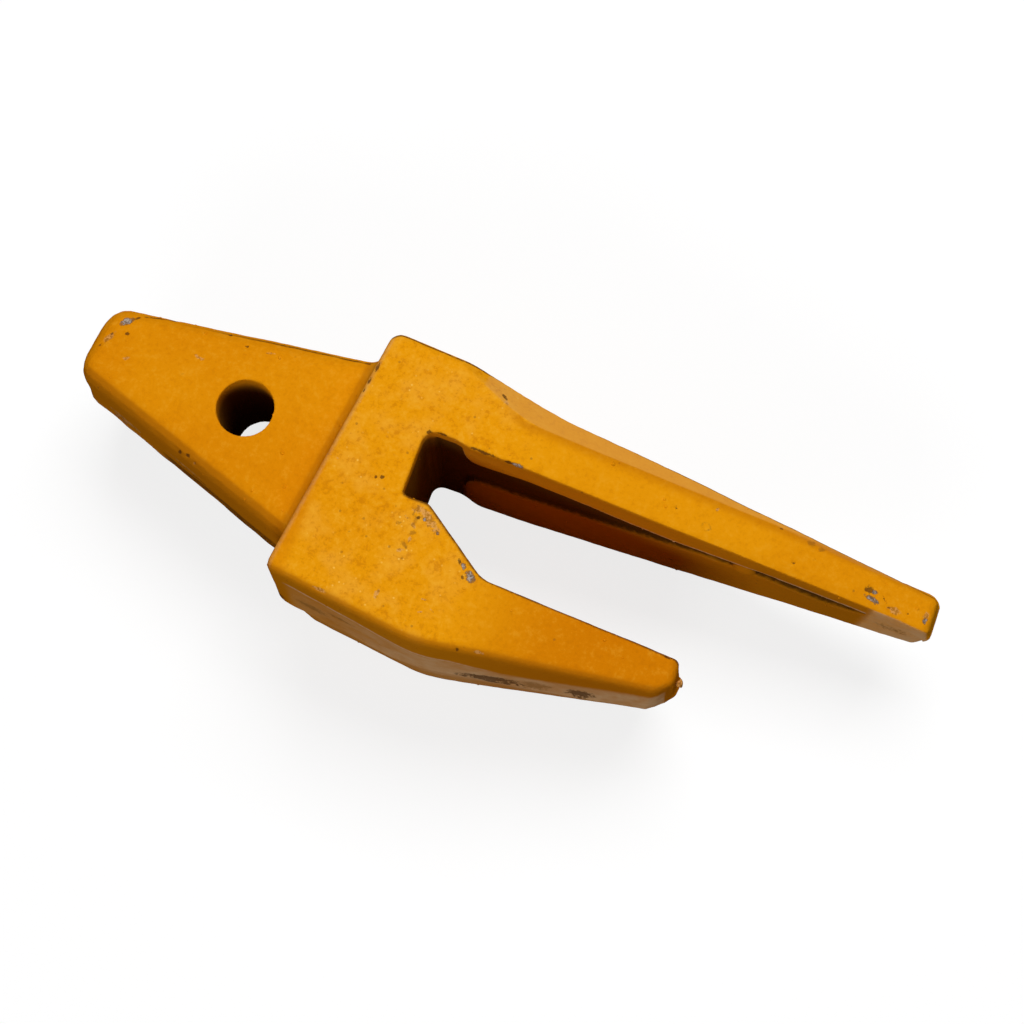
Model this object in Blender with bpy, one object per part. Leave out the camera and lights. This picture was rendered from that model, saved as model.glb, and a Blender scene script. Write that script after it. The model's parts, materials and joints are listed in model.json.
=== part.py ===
"""Bucket tooth adapter: one steel casting that is welded over the lip of an excavator bucket.

The casting lies on the flat side of its body, as it would come to rest on a bench.
X runs along the fork's slot, from the wedge-shaped nose to the end of the long strap.
Y points from the short strap to the long strap, and Z is the width of the casting, along the pin hole.
Everything is laid out from the pin hole's axis, and the origin ends up under the middle of the box.
"""
import math

import bmesh
import bpy
import numpy as np
from mathutils import Vector

# Body and pin hole
BODY_WIDTH = 0.100
PIN_HOLE_DIAMETER = 0.024
SHOULDER_TO_PIN = 0.0419
SHOULDER_TILT = math.radians(7.1)
BODY_TOP = 0.0530
BODY_BELLY = -0.0731
BODY_TOP_SLOPE = -0.055
BELLY_SLOPE = -0.120
BELLY_LOW_POINT_X = 0.102

# Nose that carries the tooth
NOSE_TILT = math.radians(6.4)
NOSE_LENGTH = 0.0743
NOSE_SIDE_STEP = 0.0125
NOSE_SIDE_TAPER = math.tan(math.radians(4.0))
NOSE_TOP_AT_PIN = 0.0353
NOSE_TOP_TAPER = math.tan(math.radians(13.4))
NOSE_BOTTOM_AT_PIN = -0.0349
NOSE_BOTTOM_TAPER = math.tan(math.radians(12.7))
NOSE_EDGE_RADIUS = 0.0090
NOSE_TIP_RADIUS = 0.0080
NOSE_ROOT_FILLET = 0.0060
FLARE_END_ANGLE = math.radians(75.0)

# Fork that takes the bucket lip
THROAT_X = 0.0764
LONG_LAND_Y = 0.0123
THROAT_GAP = 0.0265
THROAT_FLOOR_LENGTH = 0.0119
MOUTH_GAP = 0.0478
RAMP_ANGLE = math.radians(34.8)
RELIEF_DEPTH = 0.0014
RELIEF_LENGTH = 0.0125
RELIEF_RAMP = 0.0060

# Long strap
LONG_STRAP_END_X = 0.3020
LONG_STRAP_TIP_THICKNESS = 0.0193
LONG_STRAP_SLOPE = -0.0660
LONG_STRAP_TIP_WIDTH = 0.028
LONG_STRAP_TAPER_START_X = 0.112
NECK_SLOPE = -0.175
NECK_FOOT_X = 0.128
WELD_BEVEL_LINE_Y = 0.0310
WELD_BEVEL_FLAT_FROM_X = 0.1125
WELD_BEVEL_RUNOUT_SLOPE = -0.440
WELD_BEVEL_BLEND = 0.012

# Short strap
SHORT_STRAP_END_X = 0.2080
SHORT_STRAP_TIP_THICKNESS = 0.0185
SHORT_STRAP_SLOPE = 0.181
SHORT_STRAP_TIP_WIDTH = 0.054
SHORT_STRAP_TAPER_START_X = 0.118
SHORT_STRAP_END_LEAN = 0.12

# Relief channel in the long strap's inner face, between a slim near rail and a broad far rail.
# The rails narrow with the strap, so their widths are given as shares of the body's width.
CHANNEL_START_GAP = 0.0040
CHANNEL_END_X = 0.272
CHANNEL_END_ROUND = 0.010
CHANNEL_DEPTH = 0.0028
CHANNEL_SIDE_RUN = 0.0016
RAIL_START_X = 0.0915
RAIL_START_ROUND = 0.0065
RAIL_START_FLARE = 0.0175
NEAR_RAIL_X = (0.100, 0.126, 0.185, 0.226, 0.266)
NEAR_RAIL_SHARES = (0.232, 0.190, 0.200, 0.125, 0.086)
FAR_RAIL_X = (0.200, 0.225, 0.255)
FAR_RAIL_SHARES = (0.420, 0.355, 0.250)

# Casting lump left on the channel's edge
LUMP_X = 0.218
LUMP_LENGTH = 0.0125
LUMP_WIDTH = 0.014
LUMP_HEIGHT = 0.0040
LUMP_PROUD = 0.0013

# Casting draft and edge rounding
DRAFT = math.tan(math.radians(3.0))
OUTER_EDGE_RADIUS = 0.0050
SLOT_EDGE_RADIUS = 0.0016
SHOULDER_EDGE_RADIUS = 0.0035
TIP_EDGE_RADIUS = 0.0040
SMALLEST_RADIUS = 0.0008
TAPER_BLEND = 0.010

# Corners of the side profile, in order from the shoulder's lower end
BELLY_CORNER_RADIUS = 0.006
BELLY_BEND_RADIUS = 0.060
SHORT_TIP_OUTER_CORNER_RADIUS = 0.012
LONG_TIP_OUTER_CORNER_RADIUS = 0.006
TIP_INNER_CORNER_RADIUS = 0.004
RAMP_FOOT_RADIUS = 0.012
RAMP_TOP_RADIUS = 0.003
THROAT_FLOOR_CORNER_RADIUS = 0.0025
THROAT_CORNER_RADIUS = 0.0045
RELIEF_BLEND_RADIUS = 0.006
NECK_FOOT_RADIUS = 0.080
NECK_TOP_RADIUS = 0.060
SHOULDER_CORNER_RADIUS = 0.007

# Fineness of the round stretches
ROUND_STEPS = 4
BEND_STEPS = 6
HOLE_STEPS = 48
SHARP_ANGLE = math.radians(35.0)
BEND_SHARES = (-1.0, -0.5, 0.0, 0.5, 1.0)
ROUND_SHARES = (0.02, 0.1, 0.3, 0.6, 1.0)

PAINT_COLOUR = (0.78, 0.34, 0.015, 1.0)
PAINT_ROUGHNESS = 0.45

MID_Z = BODY_WIDTH / 2
CUT_CLEARANCE = 0.004
JOIN_DEPTH = 0.006
FLARE_OVERRUN = 0.0015


def clear_scene():
    for item in list(bpy.data.objects):
        bpy.data.objects.remove(item, do_unlink=True)


def painted_steel():
    """Yellow-orange machine paint over cast steel."""
    material = bpy.data.materials.new("machine_paint")
    material.use_nodes = True
    shader = material.node_tree.nodes["Principled BSDF"]
    shader.inputs["Base Color"].default_value = PAINT_COLOUR
    shader.inputs["Roughness"].default_value = PAINT_ROUGHNESS
    shader.inputs["Metallic"].default_value = 0.0
    material.diffuse_color = PAINT_COLOUR
    return material


def add_object(name, mesh_data):
    mesh = bpy.data.meshes.new(name)
    mesh_data.to_mesh(mesh)
    mesh_data.free()
    item = bpy.data.objects.new(name, mesh)
    bpy.context.scene.collection.objects.link(item)
    return item


def add_tool(name, mesh_data):
    """A solid that only shapes the casting and isn't a part of its own."""
    item = add_object(name, mesh_data)
    item.hide_render = True
    item.display_type = "WIRE"
    return item


def apply_tool(item, tool, operation):
    modifier = item.modifiers.new(f"{operation.lower()}_{tool.name}", "BOOLEAN")
    modifier.operation = operation
    modifier.solver = "EXACT"
    modifier.object = tool


def loft(sections):
    """Closed solid through a row of sections, each a list of the same number of points."""
    body = bmesh.new()
    rings = [[body.verts.new(point) for point in section] for section in sections]
    count = len(rings[0])
    for near, far in zip(rings, rings[1:]):
        for i in range(count):
            j = (i + 1) % count
            body.faces.new((near[i], near[j], far[j], far[i]))
    body.faces.new(reversed(rings[0]))
    body.faces.new(rings[-1])
    bmesh.ops.recalc_face_normals(body, faces=body.faces)
    return body


class Wall:
    """One straight wall of the side profile: where it runs, how it is drafted and how its edge is rounded."""

    def __init__(self, point, direction, edge_radius, corner_radius, steps=ROUND_STEPS, drafted=True):
        self.point = np.array(point, dtype=float)
        self.along = np.array(direction, dtype=float) / np.hypot(*direction)
        self.inward = np.array([-self.along[1], self.along[0]])
        self.edge_radius = edge_radius
        self.corner_radius = corner_radius
        self.steps = steps
        self.draft = DRAFT if drafted else 0.0

    def shift(self, rise, turn):
        """How far the wall stands inside its widest line at a height over the parting plane."""
        return self.draft * rise + self.edge_radius * (1.0 - math.cos(turn))


def crossing(first, first_shift, second, second_shift):
    a = first.point + first.inward * first_shift
    b = second.point + second.inward * second_shift
    matrix = np.array([first.along, -second.along]).T
    run = np.linalg.solve(matrix, b - a)
    return a + first.along * run[0]


def sloped_y(x, slope, through_x, through_y):
    return through_y + slope * (x - through_x)


def profile_walls():
    """The casting's side outline without the nose, as walls in order with the metal on their left."""
    throat_floor_y = LONG_LAND_Y - THROAT_GAP
    short_land_y = LONG_LAND_Y - MOUTH_GAP
    ramp_top_x = THROAT_X + THROAT_FLOOR_LENGTH
    short_tip_y = short_land_y - SHORT_STRAP_TIP_THICKNESS
    long_tip_y = LONG_LAND_Y + LONG_STRAP_TIP_THICKNESS
    neck_foot_y = sloped_y(NECK_FOOT_X, LONG_STRAP_SLOPE, LONG_STRAP_END_X, long_tip_y)
    relief_y = LONG_LAND_Y + RELIEF_DEPTH
    relief_end_x = THROAT_X + RELIEF_LENGTH
    shoulder_point = (SHOULDER_TO_PIN / math.cos(SHOULDER_TILT), 0.0)
    shoulder_down = (-math.sin(SHOULDER_TILT), -math.cos(SHOULDER_TILT))
    top_point = (shoulder_point[0], BODY_TOP)
    return [
        Wall((BELLY_LOW_POINT_X, BODY_BELLY), (1.0, BELLY_SLOPE), OUTER_EDGE_RADIUS, BELLY_CORNER_RADIUS),
        Wall((SHORT_STRAP_END_X, short_tip_y), (1.0, SHORT_STRAP_SLOPE),
             OUTER_EDGE_RADIUS, BELLY_BEND_RADIUS, BEND_STEPS),
        Wall((SHORT_STRAP_END_X, short_land_y), (-SHORT_STRAP_END_LEAN, 1.0),
             TIP_EDGE_RADIUS, SHORT_TIP_OUTER_CORNER_RADIUS),
        Wall((SHORT_STRAP_END_X, short_land_y), (-1.0, 0.0),
             SLOT_EDGE_RADIUS, TIP_INNER_CORNER_RADIUS, drafted=False),
        Wall((ramp_top_x, throat_floor_y), (-math.cos(RAMP_ANGLE), math.sin(RAMP_ANGLE)),
             SLOT_EDGE_RADIUS, RAMP_FOOT_RADIUS, BEND_STEPS, drafted=False),
        Wall((ramp_top_x, throat_floor_y), (-1.0, 0.0), SLOT_EDGE_RADIUS, RAMP_TOP_RADIUS, drafted=False),
        Wall((THROAT_X, throat_floor_y), (0.0, 1.0),
             SLOT_EDGE_RADIUS, THROAT_FLOOR_CORNER_RADIUS, drafted=False),
        Wall((THROAT_X, relief_y), (1.0, 0.0), SLOT_EDGE_RADIUS, THROAT_CORNER_RADIUS, drafted=False),
        Wall((relief_end_x, relief_y), (RELIEF_RAMP, -RELIEF_DEPTH),
             SLOT_EDGE_RADIUS, RELIEF_BLEND_RADIUS, drafted=False),
        Wall((LONG_STRAP_END_X, LONG_LAND_Y), (1.0, 0.0),
             SLOT_EDGE_RADIUS, RELIEF_BLEND_RADIUS, drafted=False),
        Wall((LONG_STRAP_END_X, LONG_LAND_Y), (0.0, 1.0), TIP_EDGE_RADIUS, TIP_INNER_CORNER_RADIUS),
        Wall((LONG_STRAP_END_X, long_tip_y), (-1.0, -LONG_STRAP_SLOPE),
             OUTER_EDGE_RADIUS, LONG_TIP_OUTER_CORNER_RADIUS),
        Wall((NECK_FOOT_X, neck_foot_y), (-1.0, -NECK_SLOPE),
             OUTER_EDGE_RADIUS, NECK_FOOT_RADIUS, BEND_STEPS),
        Wall(top_point, (-1.0, -BODY_TOP_SLOPE), OUTER_EDGE_RADIUS, NECK_TOP_RADIUS, BEND_STEPS),
        Wall(shoulder_point, shoulder_down, SHOULDER_EDGE_RADIUS, SHOULDER_CORNER_RADIUS, drafted=False),
    ]


def profile_ring(walls, rise, turn, side):
    """The outline at one step of the edge rounding, on the near side (+1) or the far side (-1)."""
    shifts = [wall.shift(rise, turn) for wall in walls]
    ring = []
    for i, wall in enumerate(walls):
        before = walls[i - 1]
        corner = crossing(before, shifts[i - 1], wall, shifts[i])
        bend = math.atan2(before.along[0] * wall.along[1] - before.along[1] * wall.along[0],
                          float(before.along @ wall.along))
        inset = (shifts[i - 1] + shifts[i]) / 2
        if bend > 0:
            radius = max(wall.corner_radius - inset, SMALLEST_RADIUS)
        else:
            radius = wall.corner_radius + inset
        reach = radius * math.tan(abs(bend) / 2)
        start = corner - before.along * reach
        inner = before.inward * math.copysign(1.0, bend)
        centre = start + inner * radius
        for k in range(wall.steps + 1):
            share = k / wall.steps
            angle = bend * share
            spoke = -inner * radius
            turned = np.array([spoke[0] * math.cos(angle) - spoke[1] * math.sin(angle),
                               spoke[0] * math.sin(angle) + spoke[1] * math.cos(angle)])
            point = centre + turned
            edge_radius = before.edge_radius * (1.0 - share) + wall.edge_radius * share
            height = MID_Z if rise == 0.0 else BODY_WIDTH / 2 - edge_radius * (1.0 - math.sin(turn))
            z = MID_Z if rise == 0.0 else MID_Z + side * height
            ring.append((point[0], point[1], z))
    return ring


def soft_ramp(distance, blend):
    """Zero before a corner and the distance past it, joined by a parabola."""
    if distance <= -blend:
        return 0.0
    if distance >= blend:
        return distance
    return (distance + blend) ** 2 / (4 * blend)


def taper_table(start_x, end_x, tip_width):
    """Stations and half-width losses of a strap that narrows evenly after a soft start."""
    slope = (BODY_WIDTH - tip_width) / 2 / (end_x - start_x)
    stations = [start_x + TAPER_BLEND * share for share in BEND_SHARES]
    stations.append(end_x + TAPER_BLEND)
    losses = [slope * soft_ramp(x - start_x, TAPER_BLEND) for x in stations]
    return stations, losses


LONG_TAPER = taper_table(LONG_STRAP_TAPER_START_X, LONG_STRAP_END_X, LONG_STRAP_TIP_WIDTH)
SHORT_TAPER = taper_table(SHORT_STRAP_TAPER_START_X, SHORT_STRAP_END_X, SHORT_STRAP_TIP_WIDTH)


def half_width(x, y):
    """Half of the casting's width at a place in its side view."""
    stations, losses = LONG_TAPER if y > (2 * LONG_LAND_Y - THROAT_GAP) / 2 else SHORT_TAPER
    return BODY_WIDTH / 2 - float(np.interp(x, stations, losses))


def fork_solid():
    """Body and both straps: a drafted profile with rounded edges, drawn in along the straps."""
    walls = profile_walls()
    half = BODY_WIDTH / 2
    rings = []
    for side in (-1, 1):
        turns = [math.pi / 2 * k / ROUND_STEPS for k in range(ROUND_STEPS + 1)]
        one_side = [profile_ring(walls, half, turn, side) for turn in turns]
        rings.append(list(reversed(one_side)) if side < 0 else one_side)
    parting = profile_ring(walls, 0.0, 0.0, 1)
    body = loft(rings[0] + [parting] + rings[1])
    for station in sorted(LONG_TAPER[0][:-1] + SHORT_TAPER[0][:-1]):
        everything = list(body.verts) + list(body.edges) + list(body.faces)
        bmesh.ops.bisect_plane(body, geom=everything, dist=1e-6, plane_co=(station, 0, 0), plane_no=(1, 0, 0))
    for vertex in body.verts:
        rise = vertex.co.z - MID_Z
        if abs(rise) > SMALLEST_RADIUS:
            loss = half - half_width(vertex.co.x, vertex.co.y)
            vertex.co.z = MID_Z + math.copysign(abs(rise) - loss, rise)
    return add_object("adapter_casting", body)


def in_side_view(along, across, width):
    """From the nose's tilted frame to the casting's own."""
    x = along * math.cos(NOSE_TILT) + across * math.sin(NOSE_TILT)
    y = -along * math.sin(NOSE_TILT) + across * math.cos(NOSE_TILT)
    return (x, y, MID_Z + width)


def nose_section(along, inset, grow):
    """Rounded section of the nose at a distance from the pin hole, widest on the parting plane."""
    top = NOSE_TOP_AT_PIN + NOSE_TOP_TAPER * along - inset + grow
    bottom = NOSE_BOTTOM_AT_PIN - NOSE_BOTTOM_TAPER * along + inset - grow
    half = BODY_WIDTH / 2 - NOSE_SIDE_STEP - NOSE_SIDE_TAPER * (SHOULDER_TO_PIN - along) - inset + grow
    radius = NOSE_EDGE_RADIUS - inset / 2 + grow
    lean = DRAFT * (half - radius)
    high = top - lean - radius
    low = bottom + lean + radius
    wide = half - radius
    points = []
    for across, width, quarter in ((high, wide, 0), (high, -wide, 1), (low, -wide, 2), (low, wide, 3)):
        for k in range(ROUND_STEPS + 1):
            angle = math.pi / 2 * (quarter + k / ROUND_STEPS)
            points.append((across + radius * math.sin(angle), width + radius * math.cos(angle)))
        if quarter == 0:
            points.append((top, 0.0))
        if quarter == 2:
            points.append((bottom, 0.0))
    return [in_side_view(along, across, width) for across, width in points]


def nose_solid():
    """Wedge nose with a rounded end, flared at its root into the shoulder."""
    sections = []
    for k in range(ROUND_STEPS + 1):
        turn = math.pi / 2 * (1.0 - k / ROUND_STEPS)
        along = NOSE_TIP_RADIUS * (1.0 - math.sin(turn)) - NOSE_LENGTH
        sections.append(nose_section(along, NOSE_TIP_RADIUS * (1.0 - math.cos(turn)), 0.0))
    flare_start = SHOULDER_TO_PIN - NOSE_ROOT_FILLET
    for k in range(ROUND_STEPS + 2):
        turn = FLARE_END_ANGLE * k / (ROUND_STEPS + 1)
        grow = NOSE_ROOT_FILLET * (1.0 - math.cos(turn))
        sections.append(nose_section(flare_start + NOSE_ROOT_FILLET * math.sin(turn), 0.0, grow))
    last_along = flare_start + NOSE_ROOT_FILLET * math.sin(FLARE_END_ANGLE)
    last_grow = NOSE_ROOT_FILLET * (1.0 - math.cos(FLARE_END_ANGLE))
    past_shoulder = SHOULDER_TO_PIN + FLARE_OVERRUN
    last_grow += math.tan(FLARE_END_ANGLE) * (past_shoulder - last_along)
    sections.append(nose_section(past_shoulder, 0.0, last_grow))
    sections.append(nose_section(SHOULDER_TO_PIN + JOIN_DEPTH, 0.0, last_grow))
    return add_tool("nose", loft(sections))


def pin_hole_tool():
    """Round cutter through the nose from side to side."""
    radius = PIN_HOLE_DIAMETER / 2
    sections = []
    for z in (-CUT_CLEARANCE, BODY_WIDTH + CUT_CLEARANCE):
        angles = [2 * math.pi * k / HOLE_STEPS for k in range(HOLE_STEPS)]
        sections.append([(radius * math.cos(angle), radius * math.sin(angle), z) for angle in angles])
    return add_tool("pin_hole_cutter", loft(sections))


def weld_bevel_tool(side):
    """Cutter for the weld bevel on one outer edge of the long strap, with its curved run-out at the body."""
    reach = BODY_TOP - WELD_BEVEL_LINE_Y
    start_x = WELD_BEVEL_FLAT_FROM_X + (reach + CUT_CLEARANCE) / WELD_BEVEL_RUNOUT_SLOPE
    bend = [WELD_BEVEL_FLAT_FROM_X + WELD_BEVEL_BLEND * share for share in BEND_SHARES]
    stations = sorted([start_x] + bend + LONG_TAPER[0])
    sections = []
    for x in stations:
        rise = soft_ramp(WELD_BEVEL_FLAT_FROM_X - x, WELD_BEVEL_BLEND)
        line_y = WELD_BEVEL_LINE_Y - WELD_BEVEL_RUNOUT_SLOPE * rise
        face_z = half_width(x, line_y)
        corners = [(line_y - CUT_CLEARANCE, face_z + CUT_CLEARANCE), (line_y + reach, face_z - reach),
                   (line_y + reach, face_z + CUT_CLEARANCE)]
        sections.append([(x, y, MID_Z + side * z) for y, z in corners])
    return add_tool("weld_bevel_cutter_near" if side > 0 else "weld_bevel_cutter_far", loft(sections))


def round_share(run, length):
    """Share of the full size at a run past a rounded start: 0 at the start, 1 after the rounding's length."""
    left = 1.0 - min(max(run / length, 0.0), 1.0)
    return math.sqrt(1.0 - left ** 2)


def channel_edges(x):
    """Far and near edge of the channel's mouth at a place along the strap, from the parting plane."""
    face = half_width(x, LONG_LAND_Y)
    flare = RAIL_START_FLARE * (1.0 - round_share(x - RAIL_START_X, RAIL_START_ROUND))
    near = face - BODY_WIDTH * float(np.interp(x, NEAR_RAIL_X, NEAR_RAIL_SHARES)) + flare
    far = BODY_WIDTH * float(np.interp(x, FAR_RAIL_X, FAR_RAIL_SHARES)) - face - flare
    middle, half = (near + far) / 2, (near - far) / 2 * round_share(CHANNEL_END_X - x, CHANNEL_END_ROUND)
    return middle - half, middle + half


def channel_tool():
    """Tapered trough with sloping sides."""
    rail = [RAIL_START_X] + [RAIL_START_X + RAIL_START_ROUND * share for share in ROUND_SHARES]
    end = [CHANNEL_END_X - CHANNEL_END_ROUND * share for share in ROUND_SHARES]
    start = THROAT_X + CHANNEL_START_GAP
    stations = sorted({start, *rail, *NEAR_RAIL_X, *FAR_RAIL_X, *LONG_TAPER[0][:-1], *end})
    sections = []
    for x in stations:
        far, near = channel_edges(x)
        depth = CHANNEL_DEPTH * round_share(CHANNEL_END_X - x, CHANNEL_END_ROUND)
        side = min(CHANNEL_SIDE_RUN, (near - far) / 4)
        overrun = side * CUT_CLEARANCE / depth
        corners = [(LONG_LAND_Y - CUT_CLEARANCE, near + overrun), (LONG_LAND_Y + depth, near - side),
                   (LONG_LAND_Y + depth, far + side), (LONG_LAND_Y - CUT_CLEARANCE, far - overrun)]
        sections.append([(x, y, MID_Z + z) for y, z in corners])
    return add_tool("channel_cutter", loft(sections))


def lump_solid():
    """Rounded lump of surplus metal that bridges the channel from its near edge."""
    body = bmesh.new()
    bmesh.ops.create_icosphere(body, subdivisions=3, radius=0.5)
    centre_y = LONG_LAND_Y + LUMP_HEIGHT - LUMP_PROUD
    centre = Vector((LUMP_X, centre_y, MID_Z + channel_edges(LUMP_X)[1] - LUMP_WIDTH / 2))
    for vertex in body.verts:
        vertex.co = centre + vertex.co * Vector((LUMP_LENGTH, 2 * LUMP_HEIGHT, LUMP_WIDTH))
    return add_tool("casting_lump", body)


def centre_on_box(items, casting):
    """Moves everything so that the origin lies under the middle of the casting's box."""
    graph = bpy.context.evaluated_depsgraph_get()
    mesh = casting.evaluated_get(graph).to_mesh()
    corners = np.array([vertex.co[:] for vertex in mesh.vertices])
    low, high = corners.min(axis=0), corners.max(axis=0)
    origin = bpy.data.objects.new("adapter_origin", None)
    bpy.context.scene.collection.objects.link(origin)
    origin.location = (-(low[0] + high[0]) / 2, -(low[1] + high[1]) / 2, -low[2])
    for item in items:
        item.parent = origin


def build():
    clear_scene()
    casting = fork_solid()
    tools = [(nose_solid(), "UNION"), (pin_hole_tool(), "DIFFERENCE"), (weld_bevel_tool(1), "DIFFERENCE"),
             (weld_bevel_tool(-1), "DIFFERENCE"), (channel_tool(), "DIFFERENCE"), (lump_solid(), "UNION")]
    for tool, operation in tools:
        apply_tool(casting, tool, operation)
    casting.data.materials.append(painted_steel())
    casting.data.shade_smooth()
    casting.data.set_sharp_from_angle(angle=SHARP_ANGLE)
    centre_on_box([casting] + [tool for tool, _ in tools], casting)


build()
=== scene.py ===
"""Bucket tooth adapter, dressed for a studio picture.

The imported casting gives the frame. Here it gets its rough cast skin, its worn machine paint,
a scatter of casting nodules, a burr, and a stage with floor, lamps and camera.
Places on the casting are in millimetres from the pin hole's axis: x along the fork's slot,
y towards the long strap, z up from the floor.
"""
import json
import math

import bmesh
import bpy
import numpy as np
from mathutils import Euler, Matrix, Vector


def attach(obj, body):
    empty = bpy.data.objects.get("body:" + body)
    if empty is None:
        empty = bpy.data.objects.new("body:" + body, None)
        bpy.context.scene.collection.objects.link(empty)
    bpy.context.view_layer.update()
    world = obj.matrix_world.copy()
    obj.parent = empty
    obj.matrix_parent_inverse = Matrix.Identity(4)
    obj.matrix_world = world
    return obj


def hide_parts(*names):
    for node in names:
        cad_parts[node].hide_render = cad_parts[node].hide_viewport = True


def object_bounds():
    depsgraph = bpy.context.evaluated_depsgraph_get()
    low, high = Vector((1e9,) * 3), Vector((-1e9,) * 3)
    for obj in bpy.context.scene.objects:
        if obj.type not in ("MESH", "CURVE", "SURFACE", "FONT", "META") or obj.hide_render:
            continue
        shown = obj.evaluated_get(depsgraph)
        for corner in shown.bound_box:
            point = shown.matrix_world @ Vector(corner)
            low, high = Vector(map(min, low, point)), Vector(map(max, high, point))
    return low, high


bl_info = {
    "name": "Bucket Tooth Adapter",
    "version": (1, 0, 0),
    "blender": (4, 5, 0),
    "location": "3D View > Sidebar > Adapter",
    "description": "Cast skin, worn machine paint and a studio stage for a weld-on bucket tooth adapter",
    "category": "Object",
}

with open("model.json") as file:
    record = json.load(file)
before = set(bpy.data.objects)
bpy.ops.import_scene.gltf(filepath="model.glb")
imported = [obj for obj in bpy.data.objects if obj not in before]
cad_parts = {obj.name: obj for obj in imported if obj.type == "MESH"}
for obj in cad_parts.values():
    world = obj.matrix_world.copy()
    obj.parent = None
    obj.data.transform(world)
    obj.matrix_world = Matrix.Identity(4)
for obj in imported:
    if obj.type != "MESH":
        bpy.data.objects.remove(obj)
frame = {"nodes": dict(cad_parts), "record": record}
CAD_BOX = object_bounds()
CASTING_NODE = "adapter_casting"
BODY_NAME = "root"
MM = 0.001


def pin_place():
    """The pin hole's axis in the frame, from the opening that the record states for it."""
    for opening in frame["record"]["physics"]["openings"]:
        if opening["name"] == "pin_hole":
            low, high = opening["box_m"]
            return np.array([(low[0] + high[0]) / 2, (low[1] + high[1]) / 2, 0.0])
    raise RuntimeError("the record states no pin hole")


PIN = pin_place()

# Landmarks of the casting, in millimetres from the pin hole's axis
PARTING_Z = 50.0
SHOULDER_X = 42.2
SHOULDER_LEAN = 0.1246
THROAT_X = 76.4
LONG_LAND_Y = 12.3
SHORT_LAND_Y = -35.5
BODY_END_X = 118.0
BODY_CORNER = (36.0, -66.0)
SHORT_END_CORNER = (207.0, -53.0)
LONG_END_X = 302.0
CHANNEL_END_X = 272.0
BEVEL_FOLD_Y = 31.0
BEVEL_START_X = 112.5
BEVEL_TIP_X = 92.0
NOSE_EDGE_Z = 88.0
HOLE_REACH = 13.0

# Height of the near rail of the relief channel: x and share of the body's width
NEAR_RAIL = ((100.0, 0.232), (126.0, 0.190), (185.0, 0.200), (226.0, 0.125), (266.0, 0.086))

# Upper edge of the dust film with painted sheen on the belly wall: x and z
DUST_TOP = (
    (48.0, 87.0), (73.0, 83.0), (101.0, 77.0), (117.0, 76.5), (138.0, 67.0), (178.0, 69.0), (208.0, 70.0))

# How much dust and painted sheen lies on the belly wall: x and share
DUST_SHARE = ((44.0, 0.22), (75.0, 0.42), (93.0, 0.78), (120.0, 0.95))

# Burr on the short strap's end, in metres from the pin hole's axis
BURR_PLACE = (0.2084, -0.0430, 0.0660)
BURR_RADIUS = 0.0015

# Swell and wear by the slot, wear of the short strap's end, and how far the skin sits in, in metres
FAR_RAIL_SWELL = 0.0010
SLOT_EDGE_WEAR = 0.0009
STRAP_CORNER_WEAR = 0.0012
SKIN_SINK = 0.00022

# Steps of the bend between floor and backdrop, and sides of their round outline
BEND_STEPS = 8
FLOOR_SIDES = 64

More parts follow.
